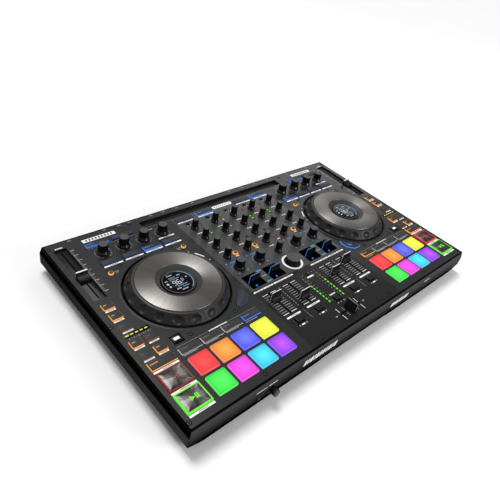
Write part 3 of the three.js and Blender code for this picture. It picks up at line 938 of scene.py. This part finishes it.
def pads():
    for row in PAD_COLOURS:
        for name, edge, middle in row:
            M[f"pad_{name}"] = pad_material(f"pad_{name}", edge, middle)
    levels = [(0.6, -5), (0.6, -1), (0, -0.6), (0, 1.2), (0.15, 1.9), (0.55, 2.45), (1.1, 2.75),
              (1.7, 2.8), (2.3, 2.55), (2.9, 2.3), (4.5, 2.34), (9.0, 2.44), (14.0, 2.5)]
    for side, label in ((-1, "left"), (1, "right")):
        xs = sorted(side * c for c in COLUMNS)
        for r, y in enumerate(PAD_ROWS):
            for c, x in enumerate(xs):
                name = PAD_COLOURS[r][c][0]
                s = Shape().stack(rounded(34.2, 34.2, 2.4, 5), levels, f"pad_{name}")
                s.make(f"pad_{label}_{name}", f"pad_mat_{label}", (f"pad_mat_{label}",), (x, y, 0), 50)
        sheet = Shape().stack(rounded(158, 77.6, 3), [(0, -6), (0, -4.9), (0.3, -4.6)], "grey_lit",
                              (sum(xs) / 4, sum(PAD_ROWS) / 2))
        sheet.make(f"pad_sheet_{label}", f"pad_mat_{label}")


def transport():
    """Cue and play buttons: a lit frame, a turned metal face and a lit sign."""
    for side, label in ((-1, "left"), (1, "right")):
        for name in ("cue", "play"):
            node = f"{name}_button_{label}"
            x, y, top = centre(node)
            at = (x, y, 0)
            lit = "green" if name == "play" else ("red" if side > 0 else "red_dim")
            s = Shape().stack(rounded(42.4, 35, 1.6), [(0.5, -8), (0, -7.6), (0, 1.5), (0.3, 2.05),
                                                       (1.0, 2.35), (2.2, 2.4), (2.5, 2.2)], lit)
            s.make(f"{node}_frame", node, (node,), at, 40)
            f = Shape().stack(rounded(37.4, 30, 1.2), [(0, 1.6), (0, 2.45), (0.25, 2.6), (6, 2.58)],
                              "button_face")
            f.make(f"{node}_face", node, (), at, 30)
            g = Shape()
            if name == "play":
                arrow = polygon([(-5.6, -4.2), (2.0, 0), (-5.6, 4.2)])
                g.stack(arrow, [(0, 2.5), (0, 2.68), (0.1, 2.72)], lit, (0.2, 0))
                g.bars(lit, (4.4, 0, 2.0, 8.4), (7.4, 0, 2.0, 8.4), z0=2.5, z1=2.72)
            else:
                g.arc(0, 0, 3.4, 4.8, 0, 360, lit, 2.5, 2.72, 40)
                g.dot(0, 0, 1.6, lit, 2.5, 2.72, 24)
            g.make(f"{node}_symbol", node, (), at)


# ---- knobs ----------------------------------------------------------------------------------
def knob_mesh(name, body, flange, height, ribs):
    """A glossy flange, a ribbed rubber skirt and a grey top. The mesh serves every knob of one size."""
    n = ribs * 6
    s = Shape()
    s.stack(circle(56), [(3, -17.2), (3, 0.5), (flange - 0.5, 0.5), (flange, 0.9), (flange, 2.0),
                         (flange - 0.35, 2.9), (flange - 1.0, 3.6), (body + 0.5, 4.6), (body + 0.1, 5.6),
                         (body - 0.6, 6.2)], "flange")
    s.stack(circle(n, ribs, 0.4), [(body - 0.5, 5.0), (body + 0.15, 5.8), (body + 0.05, height * 0.6),
                                   (body - 0.3, height - 1.6)], "rubber", caps=(True, False))
    s.stack(circle(n), [(body - 0.5, height - 1.8), (body - 0.25, height - 0.9), (body - 0.45, height - 0.35),
                        (body - 1.2, height - 0.3)], "rubber", caps=(False, False))
    s.stack(circle(n), [(body - 0.9, height - 0.5), (body - 0.9, height - 0.12), (body - 1.2, height),
                        (body * 0.5, height - 0.12), (body * 0.2, height - 0.16)], "knob_top")
    s.bar(0, body - 0.2, 0.9, 0.7, "white", 5.6, height - 1.9, 0.2)
    return s.finished(name)


def knobs():
    meshes = {}
    for node in sorted(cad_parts):
        if "knob" not in node or node == "phones_knob":
            continue
        x, y, top = centre(node)
        low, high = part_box(node)
        flange = round((high.x - low.x) / 2 / MM, 1)
        if flange not in meshes:
            lip, ribs = (1.8, 22) if flange > 9 else (1.6, 16)
            meshes[flange] = knob_mesh(f"knob_{int(flange * 10)}", flange - lip, flange, top, ribs)
        place(f"{node}_cap", meshes[flange], node, (node,), (x, y, 0))

    x, y, top = centre("browse_encoder")
    s = Shape()
    s.stack(circle(72), [(3.4, -17), (3.4, 0.9), (15.0, 0.9), (15.4, 1.3), (15.3, 3.2), (14.4, 5.0),
                         (13.4, 7.0)], "black", caps=(True, False))
    s.stack(circle(216, 36, 0.4), [(13.5, 7.0), (13.4, 8.4), (13.7, 10.9)], "rubber", caps=(False, False))
    s.stack(circle(72), [(13.7, 10.9), (13.5, 11.9), (12.9, 12.4), (9, 12.2), (4, 12.1)], "knob_top",
            caps=(False, True))
    s.make("browse_knob", "browse_encoder", ("browse_encoder",), (x, y, 0), 30)
    r = Shape()
    r.stack(circle(96), [(20.5, -0.1), (20.5, 0.3), (19.8, 0.75), (17.2, 0.75), (16.2, 0.3), (16.4, -0.1)],
            "white", (x, y), loop=True)
    r.stack(circle(64), [(16.3, -0.05), (16.3, 0.12)], "black", (x, y))
    r.make("browse_ring", smooth=40)

    low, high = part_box("phones_knob")
    at = (low.x + high.x) / 2 / MM, (low.z + high.z) / 2 / MM - PZ
    s = Shape()
    s.stack_y(*at, [(3, -197.5), (3, -211.6)], "black", 20)
    s.stack_y(*at, [(6.2, -211.8), (6.5, -212.2), (6.5, -218.0), (6.3, -220.4)], "rubber",
              outline=circle(96, 16, 0.4))
    s.stack_y(*at, [(6.1, -220.2), (6.1, -222.0), (5.6, -222.8), (2.0, -222.9)], "knob_top", 48)
    s.make("phones_knob_cap", "phones_knob", ("phones_knob",), smooth=35)


# ---- faders and paddles -----------------------------------------------------------------------
def faders():
    for label in ("left", "right"):
        node = f"pitch_fader_{label}"
        x, y, top = centre(node)
        at = (x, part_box(node)[1].y / MM - PY - 3, 0)
        s = Shape()
        s.prism([(-14, -2.9), (3, -2.9), (2.4, 4.5), (1.4, 10.9), (-0.6, 10.9), (-1.8, 7.2), (-4.4, 5.0),
                 (-11.6, 4.2), (-13.6, 2.8)], -9.8, 9.8, "black")
        s.make(f"{node}_cap", node, (node,), at, 30, 0.45)
        w = Shape()
        w.prism([(-0.75, 10.6), (1.55, 10.6), (1.5, 11.1), (-0.7, 11.1)], -9.6, 9.6, "white")
        w.prism([(0.35, -1.0), (1.2, -1.0), (1.2, 10.9), (0.35, 10.9)], -10.0, -9.6, "pale")
        w.stack(rounded(1.4, 7, 0.4), [(0, -11), (0, -2.8)], "steel", (0, -5))
        w.make(f"{node}_line", node, (), at)
    for i in range(1, 5):
        node = f"channel_fader_{i}"
        x, y, top = centre(node)
        fader_cap(node, x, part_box(node)[1].y / MM - PY - 4.6, 0)
    x, y, top = centre("crossfader")
    fader_cap("crossfader", x, y, -90)


def fader_cap(node, x, y, turn):
    """The crossfader's cap is turned and the same on both sides; a channel fader's leans back."""
    if turn:
        profile = [(-6.3, 0.7), (6.3, 0.7), (5.6, 3.8), (1.1, 16.8), (-1.1, 16.8), (-5.6, 3.8)]
        line, stem = "pale", 0
    else:
        profile = [(-7.8, 0.7), (4.4, 0.7), (4.3, 1.8), (2.2, 4.2), (1.2, 9.0), (0.8, 16.8), (-0.9, 16.8),
                   (-1.7, 10.0), (-3.0, 5.0), (-5.0, 2.9), (-7.6, 1.8)]
        line, stem = "white", -1
    s = Shape()
    s.prism(profile, -10.6, 10.6, "black", turn)
    s.make(f"{node}_cap", node, (node,), (x, y, 0), 30, 0.4)
    w = Shape()
    w.prism([(-0.62, 16.5), (0.62, 16.5), (0.55, 16.98), (-0.55, 16.98)], -10.4, 10.4, line, turn)
    for x0 in (-10.75, 10.5):
        w.prism([(-0.5, 1.4), (0.5, 1.4), (0.5, 16.9), (-0.5, 16.9)], x0, x0 + 0.25, line, turn)
    w.stack(rounded(1.4, 5.5, 0.4), [(0, -11), (0, 0.8)], "steel", (0, stem), turn)
    w.make(f"{node}_line", node, (), (x, y, 0))


def paddles():
    for i in range(1, 5):
        node = f"fx_paddle_{i}"
        x = centre(node)[0]
        at = (x, PADDLE_Y, 0)
        s = Shape()
        s.prism([(-4.4, -10.4), (4.4, -10.4), (4.4, -4.0), (3.2, -1.0), (2.2, 13.9), (-0.4, 13.9),
                 (-2.0, 9.5), (-3.6, 4.0), (-5.0, -2.0), (-5.1, -4.2)], -11.1, 11.1, "gloss")
        s.make(f"{node}_lever", node, (node,), at, 30, 0.5)
        g = Shape()
        g.prism([(0.5, 13.6), (1.5, 13.6), (1.4, 14.15), (0.6, 14.15)], -10.6, 10.6, "blue_pale")
        for x0 in (-11.24, 11.05):
            g.prism([(0.6, -4.5), (1.6, -4.5), (1.3, 14.0), (0.4, 14.0)], x0, x0 + 0.19, "blue")
        g.make(f"{node}_light", node, (), at)
        col = min(CHANNELS, key=lambda c: abs(c - x))
        w = Shape()
        w.stack(rounded(33.2, 33.2, 0.6, 2), [(0, -12.95), (0, -12.7)], "gloss", (col, PADDLE_Y))
        post = (col - 1.5, PADDLE_Y - 9.8)
        w.stack(circle(20), [(2.4, -12.8), (2.4, -4.0), (2.1, -3.6)], "black", post)
        w.stack(circle(20), [(1.8, -4.2), (1.8, -3.0), (1.3, -2.5)], "blue", post)
        w.make(f"paddle_well_floor_{i}")


# ---- small keys, lamps and printed marks -------------------------------------------------------
def dial(shape, x, y, r, step, mat, sizes, top=True):
    """Dots round a knob from -150 to 150 degrees. sizes repeat; top says if there is one at the middle."""
    for j, angle in enumerate(range(-150, 151, step)):
        if angle or top:
            shape.dot(*around(r, 90 - angle, x, y), sizes[j % len(sizes)], mat, n=8)


def round_key(keys, x, y, r, inner, top, lit):
    """A round lit key with a dark domed middle. The middle sits off centre towards the back and right, so the
    lit ring shows wider at the front and left: painted light.
    """
    keys.stack(circle(32), [(r, -0.4), (r, 1.3), (r - 0.5, 1.9), (inner, 2.0)], lit, (x, y))
    # Off centre by 0.3 mm in x and y: painted light on the front and left of the lit ring.
    keys.stack(circle(32), [(inner - 0.1, 1.6), (inner - 0.1, 2.1), (top, 2.25), (1.2, 2.15)], "key_top",
               (x + 0.3, y + 0.3))


def slide_switch(keys, x, y, well, tab_x, tab, mat):
    keys.stack(rounded(*well, 1.0, 3), [(0, -0.1), (0, 0.3), (0.4, 0.4), (1.0, -0.05)], "gloss", (x, y))
    keys.stack(rounded(*tab, 0.6, 3), [(0, 0), (0, 2.2), (0.4, 2.6)], mat, (tab_x, y))


def deck(side, label):
    """The printed marks, small keys and lamps of one deck."""
    prints, keys, lamps = Shape(), Shape(), Shape()
    right = side > 0
    xs = sorted(side * c for c in COLUMNS)
    mid = sum(xs) / 4

    # effect keys and knob scales
    for dx, lit in ((9.5, "blue"), (58.5, "blue_dim")) if right else ((-57.5, "blue"), (-8.2, "blue_dim")):
        keys.key(mid + dx, 174.2, 42, 9.4, lit)
    prints.bar(mid + side * 32, 166.6, 92, 0.5, "pale")
    prints.bar(mid - 60 if right else mid + 46, 166.4, 8, 2.2, "pale")
    for i, x in enumerate(xs):
        keys.key(x, 121.2, 35, 10.6, "blue" if i == (0 if right else 2) else "blue_dim")
        prints.tag(x, 112.8, 34.6, 3.2)
        dial(prints, x, 148, 13.8, 15, "white", (0.55, 0.38, 0.38, 0.38, 0.38))
        lit = ("orange" if i == 0 else "grey_lit") if right else ("blue" if i == 3 else "grey_lit")
        keys.key(x, MODE_KEYS_Y, 35, 11.2, lit)
        prints.word(x - 5, -107.8, 24, 1.8, "pale")
        if lit == "grey_lit":
            # Grey lit keys get an outline whose front and left sides are a painted highlight.
            key_outline_highlight(prints, x, MODE_KEYS_Y, 35, 11.2)
    prints.tag(xs[3], 134.2, 34, 2.8)
    prints.bars("pale", (mid - 49, PAD_LABELS_Y, 60, 0.5), (mid + 49, PAD_LABELS_Y, 60, 0.5))
    prints.word(mid, PAD_LABELS_Y, 36, 2.2, "white")

    # name plate, with plain marks only
    prints.bar(side * 265.5, 189.3, 63, 8.4, "white", r=1.2)
    for dx in range(-24, 25, 6):
        prints.bar(side * 265.5 + dx, 189.3, 3.4, 4.6, "ink", 0.02, 0.12, 0.2)

    # round keys above the wheel
    for x, lit, dx in ((149, "orange", 10), (292, "orange_dim", -9)) if right else (
            (-296, "orange", 11), (-151, "orange", -10)):
        round_key(keys, x, 94.6, 4.7, 3.2, 2.8, lit)
        prints.word(x + dx, 95.4, 8, 1.8, "pale")
        prints.word(x + dx, 92.4, 6, 1.8, "pale")

    # pitch fader scale
    edge = side * 325.0
    for j in range(41):
        length, mat = (3.6, "pale") if j % 5 else (7.5, "white")
        if j != 20:
            prints.bar(edge - side * length / 2, 64.6 + j * 2.815, length, 0.5, mat, r=0.1)
    prints.bar(edge, 121, 0.5, 113, "pale")
    lamps.bar(side * 319.3, 120, 5.4, 2.2, "green_dim", -0.1, 0.7)
    prints.word(side * PITCH_X, 191.4, 13, 2.6, "white")

    # marks round the wheel, on its side towards the mixer
    def turned(angle):
        return 180 - angle if right else angle

    prints.arc(side * JOG_X, JOG_Y, 93.2, 96.2, turned(25), turned(36), "white")
    for angle in (43, 17.8):
        prints.dot(*around(94, turned(angle), side * JOG_X, JOG_Y), 1.2, "white")

    # key with a curved edge beside the wheel
    pts = [(137, -45), (133, -50), (133, -64), (146, -77), (162, -77.5), (165, -73)]
    pts += [around(-99.5, angle, JOG_X, JOG_Y) for angle in (54, 50, 46, 42, 38)]
    outline = polygon([(side * x, y) for x, y in (pts if right else reversed(pts))])
    lit = "blue" if right else "blue_dim"
    keys.stack(outline, [(0, -0.4), (0, 1.2), (0.4, 1.6), (1.2, 1.7)], lit)
    keys.stack(outline, [(1.2, 1.4), (1.2, 1.84), (1.5, 1.94)], "key_top")
    keys.bar(side * 144, -62.5, 2.0, 8.0, lit, 1.9, 2.05, 0.6, turn=side * 32)
    keys.bar(side * 147.4, -64.6, 1.2, 6.0, lit, 1.9, 2.05, 0.4, turn=side * 32)

    # small black key
    at = (side * 288, -76.4)
    keys.stack(rounded(21, 17, 1.0, 3), [(0, -0.2), (0, 0.35), (0.3, 0.5), (1.6, 0.5), (1.8, 0.1)],
               "gloss", at)
    keys.stack(rounded(15.8, 11.8, 0.8, 3), [(0, 0), (0, 1.6), (0.4, 1.9)], "black", at)
    keys.bar(at[0], -76.2, 9.8, 5.2, "white", 1.85, 2.0, 1.0)

    # outer block of keys
    x = side * PITCH_X
    for y, lit in ((31.8, "orange"), (7.8, "orange"), (-17.2, "orange_dim")):
        keys.key(x, y, 18, 14, lit)
        prints.tag(x, y - 9.2, 17, 3.0)
    x = side * BLOCK_X
    keys.stack(rounded(42.4, 7.4, 0.6, 3), [(0, -0.2), (0, 0.3), (0.2, 0.4)], "gloss", (x, -33.8))
    for j in range(-2, 3):
        lamps.bar(x + j * 7.8, -33.8, 4.8, 1.9, "yellow", 0.3, 0.7)
        prints.bars("pale", (x + j * 7.8, -40.6, 1.6, 2.4), (x + j * 7.8 + 3.6, -40.6, 0.5, 3.2))
    for y, lits in ((-52.6, ("orange", "orange_dim")), (-77.4, ("orange_dim", "orange"))):
        for dx, lit in zip((-12.1, 12.1), lits):
            keys.key(x + dx, y, 18, 14, lit)
            prints.tag(x + dx, y - 9.0, 17, 2.8)
    keys.key(x, -99.4, 42.4, 15.6, "orange")
    for y in (-110.2, -151.1, -191.4):
        prints.tag(x, y, 42, 3.4)
    prints.make(f"printed_marks_{label}")
    keys.make(f"lit_keys_{label}", smooth=40)
    lamps.make(f"lamps_{label}")


def key_outline_highlight(shape, x, y, w, d):
    """A thin outline round a key: white and wider at the front and left, a painted highlight, and grey and
    thin at the back and right.
    """
    for dy, mat, t in ((-d / 2 - 0.6, "white", 0.9), (d / 2 + 0.5, "line", 0.5)):
        shape.bar(x, y + dy, w + 1.8, t, mat, r=0.1)
    for dx, mat, t in ((-w / 2 - 0.6, "white", 0.9), (w / 2 + 0.5, "line", 0.5)):
        shape.bar(x + dx, y, t, d + 1.8, mat, r=0.1)


def mixer():
    """The printed marks, small keys and lamps of the mixer."""
    prints, keys, lamps = Shape(), Shape(), Shape()

    # top keys and name plate, with plain marks only
    for x, w, lit in ((-99, 40, "blue_dim"), (-49, 42, "blue"), (49, 42, "blue_dim"), (98.5, 42, "blue")):
        keys.key(x, 163.6, w, 10.4, lit)
        prints.tag(x, 156.2, w - 1, 3.0)
    prints.bar(0, 167.8, 50, 8.4, "white", r=2.5)
    for dx in range(8):
        prints.bar(dx * 5.4 - 18.9, 167.8, 3.0, 4.2, "pale", 0.02, 0.12, 0.2)

    # knob columns
    for x in (-73.8, -24.6, 24.6, 73.8):
        prints.bars("line", (x, 92, 0.55, 116), (x, 8, 0.55, 46), r=0.1)
    for x in STRIPS:
        y = 147.4 if x else 150
        slide_switch(keys, x - 1, y, (16, 6.6), x - 4, (5, 4.4), "black")
        for dx in (-6, 0, 6):
            prints.dot(x - 1 + dx, y - 5.2, 0.8, "white", n=10)
        for row in KNOB_ROWS:
            dial(prints, x, row, 9.8, 30, "pale", (0.42,), top=False)
            if x == 0 or row > 40:
                prints.word(x, row - 17.0, 11, 2.4, "white")
    dial(prints, 0, FILTER_Y, 9.8, 30, "pale", (0.42,))
    for x in CHANNELS:
        for j in range(9):
            for a, b in ((96, 101), (84, 79)):
                turn = j * 9.6 if a > 90 else -j * 9.6
                prints.arc(x, FILTER_Y, 12.8, 13.9, a + turn, b + turn, "blue_pale", steps=3)
        prints.word(x - 1, 15.8, 11, 2.2, "blue_pale")
        prints.dot(x - 9.6, -13.6, 1.5, "blue_pale")
        prints.dot(x + 9.8, -13.6, 1.5, "blue_pale")
        lamps.dot(x - 15.8, 16.4, 1.7, "blue", -0.1, 0.8, 18)

    # channel meters and cue keys
    for k, x in enumerate((-78.4, -29.2, 29.0, 78.4)):
        keys.stack(rounded(4.6, 44, 1.6, 3), [(0, -0.1), (0, 0.2), (0.2, 0.3)], "key_top", (x, 117))
        for y, lit in ((133, "red_dim"), (127, "yellow" if k == 1 else "yellow_dim"), (110.2, "green"),
                       (103, "green")):
            lamps.bar(x, y, 2.0, 3.8, lit, 0.2, 0.7)
        round_key(keys, x, 33.2, 5.3, 3.6, 3.1, "orange_dim" if k == 2 else "orange")
        prints.word(x, 25.6, 8, 2.4, "white")

    # paddle labels, master meters and crossfader marks
    for side in (-1, 1):
        for a, b in ((24.8, 48.4), (49.8, 73.4), (75.2, 98.6), (100.0, 121.4)):
            prints.tag(side * (a + b) / 2, -65.0, b - a, 2.9)
        x = side * 73.8
        prints.bars("blue_pale", (x, -25.4, 11.6, 2.8), (x, -55.4, 11.6, 2.8), r=0.8)
        prints.bar(x, PADDLE_Y + 0.2, 10.5, 2.0, "pale", r=0.8)
        for j in range(10):
            prints.bar(x, -78.5 - 5.2 * j, 1.6, 2.2, "pale")
        prints.bar(x, -148, 0.6, 24, "pale")
        for j, lit in enumerate(["red_dim"] + ["yellow_dim"] * 3 + ["green"] * 7):
            y = METER_TOP - 7.1 * j
            lamps.bar(side * 18.8, y, 2.3, 4.2, lit, -0.1, 0.5)
            prints.bar(side * 12.4, y, 2.2, 1.2, "pale")
        for x, y0, y1 in ((25, -178, -167.5), (25, -195, -184), (12.5, -178, -170.5), (12.5, -191, -183.5)):
            prints.bar(side * x, (y0 + y1) / 2, 1.0, y1 - y0, "pale" if x < 20 else "white")
        prints.bar(side * 37, -181, 5, 2.4, "pale", r=0.8)

    # fader scales and the switches below them
    for x in CHANNELS:
        for j in range(11):
            mat = "pale" if 0 < j < 10 else "white"
            prints.bars(mat, *((x + dx, -79 - 5.12 * j, 12.6, 1.0) for dx in (-9.4, 9.4)), r=0.2)
        prints.tag(x, -138.4, 32, 3.2)
    for x in STRIPS:
        at = (x, SWITCH_Y)
        keys.stack(rounded(19, 13, 1.2, 3), [(0, -0.2), (0, 0.3), (0.4, 0.45), (1.8, 0.45), (2.0, 0.1)],
                   "gloss", at)
        keys.stack(rounded(11, 9, 0.8, 3), [(0, 0), (0, 1.9), (0.5, 2.2), (1.2, 2.15), (1.6, 1.7), (3, 1.6)],
                   "black", at)
        prints.bars("pale", (x - 8, -160.8, 3, 2.4), (x + 8, -160.8, 3, 2.4), r=0.6)
        prints.bar(x, -160.8, 7 if x else 0.6, 2.4, "white", r=0.2)
    prints.word(0, -139.6, 14, 2.4, "white")
    slide_switch(keys, -1, -79.2, (14, 5.6), 1.5, (4.6, 3.8), "knob_top")
    prints.bar(0, -86.4, 16, 3.4, "white", r=0.8)

    # marks above the rear sockets
    for x in (-314, -247, -218, -197, -149, -121, -90, -50, 49, 88, 124, 165, 230, 300):
        prints.word(x, 202.4, 6.4, 2.2, "pale")
    prints.make("printed_marks_mixer")
    keys.make("lit_keys_mixer", smooth=40)
    lamps.make("lamps_mixer")


def screws():
    s = Shape()
    for half, y in ((355, 196), (355, -7.5), (355, -197), (220, -197), (96.5, -197), (264.5, -79.5),
                    (175.5, -79.2), (273, 106), (171, 106), (199, 197), (24, 61)):
        for at in ((-half, y), (half, y)):
            s.stack(circle(28), [(3.9, -0.05), (3.9, 0.05), (3.7, 0.09)], "trim", at)
            s.stack(circle(28), [(2.7, 0.0), (2.5, 0.2), (2.1, 0.25), (1.4, 0.22)], "screw", at,
                    caps=(True, False))
            s.stack(circle(6), [(1.4, 0.22), (1.2, -0.4)], "gloss", at, caps=(False, True))
    s.make("panel_screws")


camera()
floor_and_world()
lights()
case()
rear_sockets()
panel()
for deck_side, deck_label in ((-1, "left"), (1, "right")):
    jog(deck_label)
    deck(deck_side, deck_label)
pads()
transport()
knobs()
faders()
paddles()
mixer()
screws()

bpy.context.view_layer.update()
